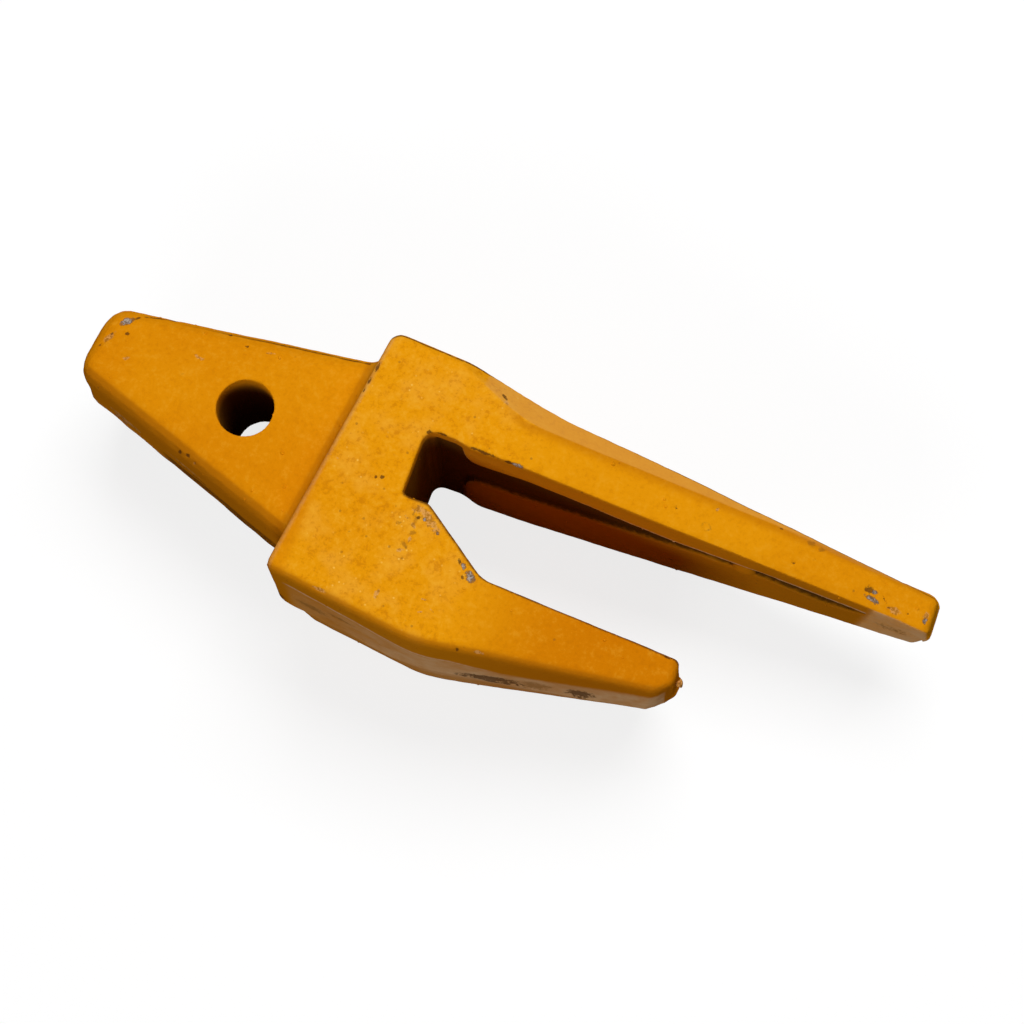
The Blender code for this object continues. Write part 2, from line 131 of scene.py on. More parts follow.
# Wear on the faces that look up: name, kind, x, y, length, width, turn in degrees
UPPER_MARKS = (
    ("nose tip chip", "pale", -62.0, 18.8, 8.5, 4.2, 50),
    ("nose tip chip rim", "dark", -58.6, 22.0, 5.0, 1.6, 45),
    ("nose top edge scar", "dark", -51.0, 25.4, 17.0, 1.3, 16),
    ("nose top edge scar end", "dark", -44.4, 27.0, 5.5, 1.9, 10),
    ("nose tip rub", "scuff", -66.6, 9.4, 10.0, 3.6, 60),
    ("nose tip rub start", "dark", -69.0, 5.6, 2.6, 1.6, 60),
    ("nose tip rub middle", "dark", -66.0, 11.6, 2.6, 1.2, 20),
    ("nose tip pit", "dark", -59.6, 13.8, 2.6, 2.0, 30),
    ("nose top pit", "dark", -18.6, 28.6, 2.6, 1.8, 0),
    ("nose upper pit", "dark", -9.5, 25.4, 2.4, 1.8, 0),
    ("nose upper smear", "scuff", 1.0, 25.6, 5.0, 1.4, 10),
    ("nose left scrape", "scuff", -55.8, 3.6, 3.4, 2.4, 30),
    ("nose middle scrape", "scuff", -26.4, 13.9, 6.5, 2.0, -12),
    ("nose middle pit", "ring", -30.3, 4.0, 3.0, 2.4, 0),
    ("nose lower pit left", "dark", -19.6, -26.4, 2.4, 2.0, 0),
    ("nose lower pit right", "dark", -15.4, -26.8, 2.4, 2.0, 0),
    ("nose lower pit small", "scuff", -11.6, -28.6, 2.2, 1.8, 0),
    ("shoulder chip top", "dark", 47.6, 31.6, 6.0, 2.0, 83),
    ("shoulder chip middle", "dark", 46.6, 25.6, 4.4, 1.6, 83),
    ("shoulder chip low", "dark", 45.8, 21.0, 3.0, 1.2, 83),
    ("body knock", "dark", 66.6, -10.6, 2.8, 2.2, 20),
    ("body knock left", "dark", 64.0, -11.6, 2.0, 1.5, 60),
    ("body scratch", "scuff", 45.0, -9.4, 9.0, 1.2, -4),
    ("bevel start knock", "dark", 101.0, 39.0, 4.4, 1.8, -38),
    ("bevel start rub", "scuff", 102.6, 36.4, 4.0, 2.4, -30),
    ("throat corner break", "dark", 77.6, 13.2, 3.4, 2.2, 20),
    ("throat edge break", "dark", 82.6, 14.2, 6.0, 1.5, 0),
    ("slot edge break", "dark", 101.0, 13.0, 17.0, 1.7, -1),
    ("slot edge knock", "dark", 112.4, 12.6, 6.0, 2.2, 0),
    ("slot edge chip", "pale", 115.8, 13.0, 7.0, 2.3, 4),
    ("ramp flaking", "scuff", 91.0, -21.0, 17.0, 5.4, -36),
    ("ramp flaking upper", "scuff", 85.0, -18.4, 6.0, 5.0, 0),
    ("ramp chip upper", "pale", 89.0, -21.4, 2.6, 1.6, -36),
    ("ramp chip lower", "pale", 95.6, -24.6, 3.4, 1.8, -36),
    ("ramp pit", "dark", 86.4, -21.4, 2.0, 1.6, 0),
    ("ramp foot chip", "pale", 114.2, -36.8, 6.4, 4.8, -40),
    ("ramp foot chip upper", "pale", 110.2, -33.6, 4.2, 2.4, -50),
    ("ramp foot rim upper", "dark", 108.2, -32.4, 3.6, 1.8, -60),
    ("ramp foot rim lower", "dark", 111.6, -38.2, 3.4, 1.6, -50),
    ("body smear", "scuff", 81.6, -56.0, 6.5, 2.6, 80),
    ("body crackle upper", "scuff", 100.4, -51.6, 4.6, 0.9, 10),
    ("body crackle middle", "scuff", 104.4, -54.6, 5.0, 0.9, -30),
    ("body crackle lower", "scuff", 100.6, -57.0, 3.6, 0.9, 35),
    ("belly edge rub", "scuff", 60.0, -62.6, 9.0, 1.8, -6),
    ("short strap edge bead", "dark", 119.6, -66.0, 2.0, 1.6, 0),
    ("short strap edge rub", "scuff", 127.8, -63.8, 6.0, 2.0, 10),
    ("short tip nick", "dark", 199.6, -36.4, 5.0, 1.2, 0),
    ("long strap pit", "dark", 182.4, 22.0, 2.0, 1.6, 0),
    ("long strap ring", "ring", 196.4, 19.2, 5.0, 4.4, 0),
    ("long strap smear", "scuff", 198.6, 27.8, 3.0, 1.4, 40),
    ("bevel edge pit", "dark", 226.4, 31.0, 2.4, 1.2, 0),
    ("outer edge stain", "stain", 240.0, 29.8, 5.0, 3.6, 0),
    ("outer edge stain right", "stain", 244.8, 29.0, 4.0, 3.2, 0),
    ("long strap far pit", "dark", 235.7, 19.0, 2.4, 1.5, 30),
    ("long tip chip dark", "dark", 269.2, 20.8, 5.2, 4.6, 30),
    ("long tip chip", "pale", 271.4, 17.4, 9.0, 2.8, -14),
    ("long tip chip upper", "pale", 271.8, 20.6, 3.0, 2.4, 0),
    ("long tip crack", "dark", 276.6, 19.4, 6.5, 0.9, -38),
    ("long tip rub", "scuff", 282.0, 16.6, 9.0, 3.8, -6),
    ("long tip pit", "dark", 279.4, 17.0, 2.0, 1.5, 0),
    ("long tip speck", "dark", 287.8, 17.4, 1.8, 1.2, 40),
    ("long tip corner chip", "pale", 295.8, 17.6, 4.0, 3.4, 60),
    ("long tip corner rub", "scuff", 295.4, 19.6, 4.6, 3.2, 60),
)

# Dotted scratches on the body: name, first dot's x and y, last dot's x and y, dots, dot size
DOTTED_MARKS = (
    ("body dotted scratch", 86.6, -22.4, 84.6, -36.4, 6, 2.1),
    ("body dotted scratch left", 83.0, -20.0, 80.6, -26.0, 3, 1.8),
)

# Wear on the walls: name, kind, wall, x, z, length along x, width along z
WALL_MARKS = (
    ("far rib streak left", "pale", "inner", 96.6, 13.4, 8.0, 1.3),
    ("far rib streak right", "pale", "inner", 106.6, 15.6, 9.0, 1.2),
    ("far rib knock", "dark", "inner", 188.0, 30.0, 3.0, 2.6),
    ("near rib rub", "scuff", "inner", 226.0, 66.0, 14.0, 3.4),
    ("long tip wall rub", "scuff", "inner", 286.0, 50.0, 22.0, 12.0),
    ("nose wall rub", "scuff", "lower", -52.0, 58.0, 22.0, 9.0),
    ("nose wall bare patch", "pale", "lower", -56.0, 52.0, 9.0, 3.0),
    ("nose flash line", "scuff", "lower", -19.0, 65.0, 24.0, 5.0),
    ("nose flash crack", "dark", "lower", -14.0, 60.0, 26.0, 2.6),
    ("body wall stain", "stain", "lower", 54.0, 66.0, 20.0, 13.0),
    ("body wall stain right", "stain", "lower", 68.0, 72.0, 16.0, 7.0),
    ("short strap wall grime", "dark", "lower", 134.0, 54.0, 36.0, 14.0),
    ("short strap wall stain", "stain", "lower", 152.0, 56.0, 20.0, 14.0),
    ("short strap wall knock", "dark", "lower", 171.0, 55.0, 16.0, 15.0),
)
MARK_KINDS = ("pale", "dark", "scuff", "stain")
# Several zones carry painted light: shade on walls, in the slot, in creases, along the fold and on top edges;
# sheen on the bevel and, with dust, on lower walls; highlight on edge lips.
ZONES = ("lower", "crease", "body", "deep", "shade_and_grime", "lip", "bevel", "fold", "line", "painted_wall_shade")

# Noises of the paint: size in metres, detail and roughness
PAINT_WAVES = {
    "tone": (0.070, 2.0, 0.5),
    "patches": (0.017, 3.0, 0.6),
    "mottle": (0.0050, 3.0, 0.6),
    "grain": (0.0017, 3.0, 0.75),
    "ragged": (0.0021, 5.0, 0.75),
}

# Colours of flecks, grime, wear, painted shade, painted sheen and painted highlight, as linear red, green and
# blue
TONES = {
    "dark fleck": (0.500, 0.140, 0.002),
    "pale fleck": (0.880, 0.430, 0.030),
    "glint": (0.930, 0.560, 0.090),
    # Painted shade on walls facing -Y and on the edges that round into them
    "painted_wall_shade": (0.480, 0.150, 0.003),
    "speck": (0.220, 0.085, 0.012),
    # Painted shade, with some real grime, in throat, relief channel and pin hole
    "shade_and_grime": (0.060, 0.024, 0.005),
    # Painted sheen on the weld bevel
    "bevel": (0.770, 0.380, 0.100),
    "fold": (0.480, 0.140, 0.002),
    # Painted highlight on the channel's lips and the shoulder's edge, partly worn paint; also the dust film's
    # pale upper edge
    "lip": (0.760, 0.480, 0.280),
    # Painted shade on top edges facing +Y, and a dark band across the nose's wall facing -Y
    "line": (0.110, 0.036, 0.005),
    "stain": (0.220, 0.090, 0.012),
    "dark scuff": (0.240, 0.100, 0.022),
    "pale scuff": (0.660, 0.340, 0.120),
    "knock": (0.095, 0.036, 0.008),
    "chip rim": (0.170, 0.085, 0.035),
    "dull metal": (0.130, 0.105, 0.085),
}


class AdapterSkin(bpy.types.PropertyGroup):
    """Sizes of the cast surface."""

    voxel: bpy.props.FloatProperty(
        name="Voxel", description="Grid size of the fine casting mesh", default=0.0007, unit="LENGTH")
    rounding: bpy.props.IntProperty(
        name="Rounding", description="Smoothing passes over the fine mesh", default=5)
    triangles: bpy.props.IntProperty(
        name="Triangles", description="Most triangles that the finished casting may have", default=186000)
    swell_height: bpy.props.FloatProperty(
        name="Swell height", description="Slow unevenness of the cast faces", default=0.00028, unit="LENGTH")
    swell_size: bpy.props.FloatProperty(
        name="Swell size", description="Width of one slow swell", default=0.022, unit="LENGTH")
    grain_height: bpy.props.FloatProperty(
        name="Grain height", description="Height of the sand grain in the skin",
        default=0.00013, unit="LENGTH")
    grain_size: bpy.props.FloatProperty(
        name="Grain size", description="Width of one sand dimple", default=0.0042, unit="LENGTH")
    ridge_height: bpy.props.FloatProperty(
        name="Parting ridge", description="Height of the ridge left where the mould halves met",
        default=0.00070, unit="LENGTH")
    chip_depth: bpy.props.FloatProperty(
        name="Chip depth", description="How deep a knock goes into paint and metal",
        default=0.00035, unit="LENGTH")
    corner_wear: bpy.props.FloatProperty(
        name="Corner wear", description="Metal lost at the body's lower corner",
        default=0.0026, unit="LENGTH")
    nodule_density: bpy.props.FloatProperty(
        name="Nodules", description="Casting nodules on each square metre", default=1900.0)
    nodule_radius: bpy.props.FloatProperty(
        name="Nodule radius", description="Radius of a common nodule", default=0.00042, unit="LENGTH")
    seed: bpy.props.IntProperty(name="Seed", description="Seed of everything scattered", default=7)


class AdapterPaint(bpy.types.PropertyGroup):
    """Colours of the machine paint and of what shows through it."""

    paint: bpy.props.FloatVectorProperty(
        name="Paint", description="Main yellow-orange", subtype="COLOR", size=3,
        default=(0.800, 0.312, 0.003))
    # Deep paint: the darker orange laid on the nose and the straps by depth_of_colour
    paint_deep: bpy.props.FloatVectorProperty(
        name="Deep paint", description="Thicker, more orange paint", subtype="COLOR", size=3,
        default=(0.640, 0.190, 0.001))
    paint_pale: bpy.props.FloatVectorProperty(
        name="Pale paint", description="Rubbed, paler paint", subtype="COLOR", size=3,
        default=(0.830, 0.375, 0.030))
    # Dust with painted sheen on the lower mould half and the belly wall
    dust_and_sheen: bpy.props.FloatVectorProperty(
        name="Dust", description="Dusty film on the lower mould half", subtype="COLOR", size=3,
        default=(0.700, 0.430, 0.220))
    # Painted shade that darkens concave creases
    crease_shade: bpy.props.FloatVectorProperty(
        name="Crease shade", description="Dark rust and grime in pits", subtype="COLOR", size=3,
        default=(0.040, 0.016, 0.005))
    bare: bpy.props.FloatVectorProperty(
        name="Bare metal", description="Pale bare casting in a fresh chip", subtype="COLOR", size=3,
        default=(0.480, 0.420, 0.380))
    roughness: bpy.props.FloatProperty(
        name="Roughness", description="Roughness of sound paint",
        default=0.46, min=0.0, max=1.0, subtype="FACTOR")


class AdapterStage(bpy.types.PropertyGroup):
    """Camera, lamps and floor."""

    camera_from_pin: bpy.props.FloatVectorProperty(
        name="Camera", description="Camera's place from the pin hole's axis", subtype="TRANSLATION", size=3,
        unit="LENGTH", default=(0.17647, -0.16085, 0.85301))
    camera_turn: bpy.props.FloatVectorProperty(
        name="Camera turn", description="Camera's tilt, lean and heading", subtype="EULER", size=3,
        unit="ROTATION", default=(math.radians(12.32), math.radians(-0.117), math.radians(20.35)))
    lens: bpy.props.FloatProperty(name="Lens", description="Focal length in millimetres", default=67.29)
    lamp_power: bpy.props.FloatProperty(
        name="Lamp power", description="Power of the soft box in watts", default=46.5)
    lamp_size: bpy.props.FloatVectorProperty(
        name="Lamp size", description="Length and width of the soft box", subtype="XYZ_LENGTH", size=2,
        unit="LENGTH", default=(1.5, 1.1))
    lamp_place: bpy.props.FloatVectorProperty(
        name="Lamp place", description="Middle of the soft box over the floor", subtype="TRANSLATION", size=3,
        unit="LENGTH", default=(0.0, 1.05, 2.05))
    fill_power: bpy.props.FloatProperty(
        name="Fill power", description="Power of the low fill in watts", default=18.0)
    fill_size: bpy.props.FloatVectorProperty(
        name="Fill size", description="Length and width of the low fill", subtype="XYZ_LENGTH", size=2,
        unit="LENGTH", default=(1.4, 0.9))
    fill_place: bpy.props.FloatVectorProperty(
        name="Fill place", description="Middle of the low fill over the floor", subtype="TRANSLATION", size=3,
        unit="LENGTH", default=(0.0, -1.9, 1.1))
    ambient: bpy.props.FloatProperty(
        name="Ambient", description="Light of the dim room above the backdrop", default=0.08)
    floor_colour: bpy.props.FloatProperty(
        name="Floor", description="Grey value of the floor as it is seen", default=0.22)
    floor_glow: bpy.props.FloatProperty(
        name="Floor glow", description="Light added to the floor as it is seen", default=0.80)
    floor_bounce: bpy.props.FloatProperty(
        name="Floor bounce", description="Grey value of the floor as it lights the casting", default=0.10)
    backdrop: bpy.props.FloatVectorProperty(
        name="Backdrop", description="Radius, rounding and height of the round floor and backdrop",
        subtype="XYZ_LENGTH", size=3, unit="LENGTH", default=(3.0, 0.8, 1.6))


def add_node(tree, kind, inputs=None, **settings):
    """A node with its settings and its inputs, each a plain value or another node's output."""
    made = tree.nodes.new(kind)
    for name, value in settings.items():
        setattr(made, name, value)
    for key, value in (inputs or {}).items():
        if isinstance(value, bpy.types.NodeSocket):
            tree.links.new(value, made.inputs[key])
        else:
            made.inputs[key].default_value = value
    return made


def calculate(tree, operation, first, second=0.0, third=0.0, clamp=False):
    kind = "ShaderNodeMath"
    made = add_node(tree, kind, {0: first, 1: second, 2: third}, operation=operation, use_clamp=clamp)
    return made.outputs[0]


def product(tree, first, second):
    return calculate(tree, "MULTIPLY", first, second)


def soft_step(tree, value, low, high, to_low=0.0, to_high=1.0):
    """A smooth rise from one level to another as the value passes from low to high."""
    made = add_node(tree, "ShaderNodeMapRange",
                    {"Value": value, "From Min": low, "From Max": high, "To Min": to_low, "To Max": to_high},
                    interpolation_type="SMOOTHSTEP")
    return made.outputs["Result"]


def blend_colour(tree, share, first, second):
    made = add_node(tree, "ShaderNodeMix", data_type="RGBA")
    for index, value in ((0, share), (6, first), (7, second)):
        if isinstance(value, bpy.types.NodeSocket):
            tree.links.new(value, made.inputs[index])
        elif index == 0:
            made.inputs[index].default_value = value
        else:
            made.inputs[index].default_value = (*value, 1.0)
    return made.outputs[2]


def noise(tree, place, size, detail=2.0, roughness=0.5):
    """Noise with features of a given size in metres."""
    made = add_node(tree, "ShaderNodeTexNoise",
                    {"Vector": place, "Scale": 1.0 / size, "Detail": detail, "Roughness": roughness})
    return made.outputs["Fac"]


def plain_material(name, colour, roughness):
    """A new material and its node tree, with the shader's colour and roughness set for plain views."""
    material = bpy.data.materials.new(name)
    material.use_nodes = True
    material.diffuse_color = (*colour, 1.0)
    shader = material.node_tree.nodes["Principled BSDF"]
    shader.inputs["Base Color"].default_value = (*colour, 1.0)
    shader.inputs["Roughness"].default_value = roughness
    return material


def cell_dots(tree, place, size, inner, outer):
    """A round dot in each cell of a given size in metres, and a random number for each cell."""
    cells = add_node(tree, "ShaderNodeTexVoronoi", {"Vector": place, "Scale": 1.0 / size, "Randomness": 1.0})
    dot = soft_step(tree, cells.outputs["Distance"], inner, outer, 1.0, 0.0)
    chance = add_node(tree, "ShaderNodeSeparateColor", {"Color": cells.outputs["Color"]}).outputs["Red"]
    return dot, chance


def sound_paint(tree, place, mask, wave, props):
    """Colour of sound paint: slow changes of tone, pale patches, flecks and glints, and painted shade on
    walls facing -Y.
    """
    drift = soft_step(tree, wave["tone"], 0.38, 0.62, -0.12, 0.12)
    deep = calculate(tree, "ADD", drift, mask["deep"], clamp=True)
    colour = blend_colour(tree, deep, props.paint, props.paint_deep)
    pale = product(tree, soft_step(tree, wave["patches"], 0.44, 0.66, 0.0, 0.50), mask["body"])
    colour = blend_colour(tree, pale, colour, props.paint_pale)

    strength = calculate(tree, "MULTIPLY_ADD", mask["body"], 0.45, 0.55)
    fleck = calculate(tree, "MULTIPLY_ADD", wave["mottle"], 0.45, product(tree, wave["grain"], 0.55))
    darker = product(tree, soft_step(tree, fleck, 0.36, 0.50, 0.45, 0.0), strength)
    colour = blend_colour(tree, darker, colour, TONES["dark fleck"])
    lighter = product(tree, soft_step(tree, fleck, 0.50, 0.64, 0.0, 0.40), strength)
    colour = blend_colour(tree, lighter, colour, TONES["pale fleck"])

    dot, chance = cell_dots(tree, place, 0.0019, 0.12, 0.30)
    near_patch = product(tree, soft_step(tree, wave["patches"], 0.48, 0.60, 0.05, 0.80), mask["body"])
    glint = product(tree, dot, calculate(tree, "GREATER_THAN", chance, 0.80))
    colour = blend_colour(tree, product(tree, glint, near_patch), colour, TONES["glint"])
    # Painted shade on walls facing -Y and the edges that round into them
    painted_wall_shade = soft_step(tree, mask["painted_wall_shade"], 0.10, 0.95, 0.0, 0.76)
    return blend_colour(tree, painted_wall_shade, colour, TONES["painted_wall_shade"])


def soiled_paint(tree, place, mask, wave, props, colour):
    """Adds specks, dust with painted sheen, painted shade with some grime, painted sheen on the bevel, and
    painted highlight on edge lips. Gives the shares of specks and of the dust too.
    """
    dot, chance = cell_dots(tree, place, 0.0034, 0.10, 0.22)
    rate = calculate(tree, "SUBTRACT", 0.972, product(tree, mask["body"], 0.10))
    specks = product(tree, dot, calculate(tree, "GREATER_THAN", chance, rate))
    film = product(tree, soft_step(tree, wave["mottle"], 0.30, 0.70, 0.70, 0.95),
                   soft_step(tree, wave["patches"], 0.36, 0.62, 0.62, 1.0))
    dust_and_sheen_share = product(tree, mask["lower"], film)
    crease = product(tree, soft_step(tree, mask["crease"], 0.10, 0.90, 0.0, 0.55),
                     soft_step(tree, wave["mottle"], 0.30, 0.60, 0.55, 1.0))
    lip = product(tree, mask["lip"], soft_step(tree, wave["ragged"], 0.38, 0.60, 0.40, 0.95))
    line = product(tree, mask["line"], soft_step(tree, wave["ragged"], 0.36, 0.54, 0.45, 0.92))
    # The dust layer carries painted sheen; crease, slot, fold and top-edge layers are painted shade; the
    # bevel layer is painted sheen; the lip layer is painted highlight, partly wear.
    layers = (
        (product(tree, specks, 0.45), TONES["speck"]),
        (dust_and_sheen_share, props.dust_and_sheen),
        (crease, props.crease_shade),
        (mask["shade_and_grime"], TONES["shade_and_grime"]),
        (product(tree, mask["bevel"], 0.34), TONES["bevel"]),
        (product(tree, mask["fold"], 0.50), TONES["fold"]),
        (lip, TONES["lip"]),
        (line, TONES["line"]),
    )
    for share, tone in layers:
        colour = blend_colour(tree, share, colour, tone)
    return colour, specks, dust_and_sheen_share


def knocked_paint(tree, place, mask, wave, props, colour):
    """Adds stains, scuffs, knocks and bare chips. Gives the shares of the last three too."""
    jitter = calculate(tree, "MULTIPLY_ADD", wave["ragged"], 3.2, -1.6)

    def share_of(kind, low, high, most):
        worn = calculate(tree, "ADD", mask[kind], jitter)
        present = soft_step(tree, mask[kind], 0.02, 0.30)
        return product(tree, soft_step(tree, worn, low, high, 0.0, most), present)

    scuff = share_of("scuff", 0.25, 0.75, 0.60)
    knock = share_of("dark", 0.25, 0.70, 0.80)
    chip = share_of("pale", 0.45, 0.80, 0.85)
    speckle = soft_step(tree, wave["grain"], 0.42, 0.56)
    glimmer = soft_step(tree, noise(tree, place, 0.0012, 3.0, 0.7), 0.40, 0.58)
    layers = (
        (share_of("stain", 0.10, 0.90, 0.50), TONES["stain"]),
        (scuff, blend_colour(tree, speckle, TONES["dark scuff"], TONES["pale scuff"])),
        (knock, TONES["knock"]),
        (share_of("pale", 0.10, 0.45, 0.75), TONES["chip rim"]),
        (chip, blend_colour(tree, glimmer, TONES["dull metal"], props.bare)),
    )
    for share, tone in layers:
        colour = blend_colour(tree, share, colour, tone)
    return colour, scuff, knock, chip


def machine_paint(props):
    """Yellow-orange machine paint over a rough casting, with grain, grime, dust, pits and chips, and painted
    shade, sheen and highlights.
    """
    material = plain_material("worn_machine_paint", props.paint, props.roughness)
    tree = material.node_tree
    shader = tree.nodes["Principled BSDF"]
    shader.inputs["Specular IOR Level"].default_value = 0.0
    place = add_node(tree, "ShaderNodeTexCoord").outputs["Object"]
    mask = {name: add_node(tree, "ShaderNodeAttribute", attribute_name=name).outputs["Fac"]
            for name in MARK_KINDS + ZONES}
    wave = {name: noise(tree, place, *setting) for name, setting in PAINT_WAVES.items()}
    colour = sound_paint(tree, place, mask, wave, props)
    colour, specks, dust_and_sheen_share = soiled_paint(tree, place, mask, wave, props, colour)
    colour, scuff, knock, chip = knocked_paint(tree, place, mask, wave, props, colour)
    tree.links.new(colour, shader.inputs["Base Color"])

    rough = soft_step(tree, wave["mottle"], 0.2, 0.8, props.roughness - 0.05, props.roughness + 0.10)
    for share, level in ((dust_and_sheen_share, 0.80), (mask["shade_and_grime"], 0.95), (knock, 0.85), (scuff, 0.70), (chip, 0.60)):
        rough = add_node(tree, "ShaderNodeMix", {0: share, 2: rough, 3: level}).outputs[0]
    tree.links.new(rough, shader.inputs["Roughness"])

    height = product(tree, noise(tree, place, 0.0024, 2.0), 0.8)
    for share, lift in ((wave["grain"], 0.45), (specks, -0.6), (knock, -1.6), (chip, -1.2), (scuff, -0.5)):
        height = calculate(tree, "MULTIPLY_ADD", share, lift, height)
    bump = add_node(tree, "ShaderNodeBump", {"Height": height, "Strength": 0.55, "Distance": 0.00022})
    tree.links.new(bump.outputs["Normal"], shader.inputs["Normal"])
    return material


def floor_material(props):
    """Pale floor that looks bright but throws little light back, and keeps the casting's shadow."""
    grey = (props.floor_bounce,) * 3
    material = plain_material("pale_floor", grey, 1.0)
    tree = material.node_tree
    tree.nodes.remove(tree.nodes["Principled BSDF"])
    seen = (*(props.floor_colour,) * 3, 1.0)
    bounce = add_node(tree, "ShaderNodeBsdfDiffuse", {"Color": (*grey, 1.0)})
    paper = add_node(tree, "ShaderNodeBsdfDiffuse", {"Color": seen})
    glow = add_node(tree, "ShaderNodeEmission", {"Strength": props.floor_glow})
    bright = add_node(tree, "ShaderNodeAddShader", {0: paper.outputs[0], 1: glow.outputs[0]})
    mixed = add_node(tree, "ShaderNodeMixShader",
                     {0: looked_at(tree), 1: bounce.outputs[0], 2: bright.outputs[0]})
    tree.links.new(mixed.outputs[0], tree.nodes["Material Output"].inputs["Surface"])
    return material


def looked_at(tree):
    """1 for rays that show a surface to the camera, directly, in a reflection or through glass."""
    path = add_node(tree, "ShaderNodeLightPath").outputs
    seen = calculate(tree, "MAXIMUM", path["Is Camera Ray"], path["Is Glossy Ray"])
    return calculate(tree, "MAXIMUM", seen, path["Is Transmission Ray"])


def link_object(name, mesh):
    item = bpy.data.objects.new(name, mesh)
    bpy.context.scene.collection.objects.link(item)
    return item


def evaluated_mesh(item):
    """The object's mesh with its modifiers applied, as new data."""
    graph = bpy.context.evaluated_depsgraph_get()
    return bpy.data.meshes.new_from_object(item.evaluated_get(graph))


def vertex_array(mesh, field):
    values = np.zeros(len(mesh.vertices) * 3, dtype=np.float32)
    mesh.vertices.foreach_get(field, values)
    return values.reshape(-1, 3).astype(float)


def merged_cad_mesh():
    """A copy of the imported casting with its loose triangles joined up."""
    mesh = frame["nodes"][CASTING_NODE].data.copy()
    body = bmesh.new()
    body.from_mesh(mesh)
    bmesh.ops.remove_doubles(body, verts=body.verts, dist=1e-6)
    body.to_mesh(mesh)
    body.free()
    mesh.materials.clear()
    return mesh


def fine_casting(skin):
    """The casting on an even fine grid, with its facets rounded off."""
    exact = link_object("exact_casting", merged_cad_mesh())
    rough = link_object("rough_casting", exact.data.copy())
    remesh = rough.modifiers.new("even grid", "REMESH")
    remesh.mode = "VOXEL"
    remesh.voxel_size = skin.voxel
    snap = rough.modifiers.new("back to the true faces", "SHRINKWRAP")
    snap.target = exact
    smooth = rough.modifiers.new("round the facets", "SMOOTH")
    smooth.factor = 0.5
    smooth.iterations = skin.rounding
    mesh = evaluated_mesh(rough)
    bpy.data.objects.remove(rough)
    bpy.data.objects.remove(exact)
    return mesh


def rise(values, low, high):
    """Smooth step from 0 at low to 1 at high."""
    share = np.clip((values - low) / (high - low), 0.0, 1.0)
    return share * share * (3.0 - 2.0 * share)


def fall(values, low, high):
    """Smooth step from 1 at low to 0 at high."""
    return rise(-values, -high, -low)


def spread(values, edges, count, passes):
    """Averages a value over neighbouring vertices a few times."""
    links = np.bincount(edges.ravel(), minlength=count)
    for _ in range(passes):
        total = np.bincount(edges[:, 0], weights=values[edges[:, 1]], minlength=count)
        total += np.bincount(edges[:, 1], weights=values[edges[:, 0]], minlength=count)
        values = 0.5 * values + 0.5 * total / np.maximum(links, 1)
    return values


def bend_of_surface(mesh, place, normal):
    """How hollow (above 0) or how sharp (below 0) the surface is at each vertex, per metre."""
    count = len(place)
    edges = np.zeros(len(mesh.edges) * 2, dtype=np.int32)
    mesh.edges.foreach_get("vertices", edges)
    edges = edges.reshape(-1, 2)
    links = np.maximum(np.bincount(edges.ravel(), minlength=count), 1)
    mean = np.zeros_like(place)
    for axis in range(3):
        total = np.bincount(edges[:, 0], weights=place[edges[:, 1], axis], minlength=count)
        total += np.bincount(edges[:, 1], weights=place[edges[:, 0], axis], minlength=count)
        mean[:, axis] = total / links
    length = np.linalg.norm(place[edges[:, 0]] - place[edges[:, 1]], axis=1).mean()
    bend = ((mean - place) * normal).sum(axis=1) / length ** 2
    return spread(bend, edges, count, 3), edges


def blob(along, across, length, width):
    """1 in the middle of a mark, falling to 0 at its outline."""
    reach = np.hypot(along / (length / 2), across / (width / 2))
    return np.clip(1.35 * (1.0 - reach), 0.0, 1.0)


def dotted_marks():
    """The dots of the dotted scratches, each told like a mark on the upper faces."""
    dots = []
    for name, x0, y0, x1, y1, count, size in DOTTED_MARKS:
        for k in range(count):
            share = k / (count - 1)
            wander = 0.9 * math.sin(5.0 * k + x0)
            kind = "scuff" if k % 2 else "stain"
            at_x, at_y = x0 + (x1 - x0) * share + wander, y0 + (y1 - y0) * share
            dots.append((name, kind, at_x, at_y, size, 2 * size, 60 * k))
    return dots


def stamp_marks(mm, normal):
    """Strength of each kind of wear at each vertex, from the marks' places."""
    kinds = {kind: np.zeros(len(mm)) for kind in MARK_KINDS}
    x, y, z = mm.T
    looks_up = rise(normal[:, 2], 0.08, 0.32) * rise(z, 52.0, 58.0)
    for _, kind, at_x, at_y, length, width, turn in (*UPPER_MARKS, *dotted_marks()):
        near = np.flatnonzero((abs(x - at_x) < length) & (abs(y - at_y) < length) & (looks_up > 0))
        angle = math.radians(turn)
        dx, dy = x[near] - at_x, y[near] - at_y
        along = dx * math.cos(angle) + dy * math.sin(angle)
        across = dy * math.cos(angle) - dx * math.sin(angle)
        if kind == "ring":
            reach = np.hypot(along / (length / 2), across / (width / 2))
            value = 0.55 * np.clip(1.0 - abs(reach - 0.72) / 0.30, 0.0, 1.0)
            kind = "stain"
        else:
            value = blob(along, across, length, width)
        kinds[kind][near] = np.maximum(kinds[kind][near], value * looks_up[near])
    walls = {"inner": (y > LONG_LAND_Y - 3) & (y < LONG_LAND_Y + 3), "lower": y < -5.0}
    for _, kind, wall, at_x, at_z, length, width in WALL_MARKS:
        on_wall = walls[wall] & (normal[:, 1] < -0.3)
        near = np.flatnonzero((abs(x - at_x) < length) & (abs(z - at_z) < width) & on_wall)
        value = blob(x[near] - at_x, z[near] - at_z, length, width)
        kinds[kind][near] = np.maximum(kinds[kind][near], value)
    return kinds


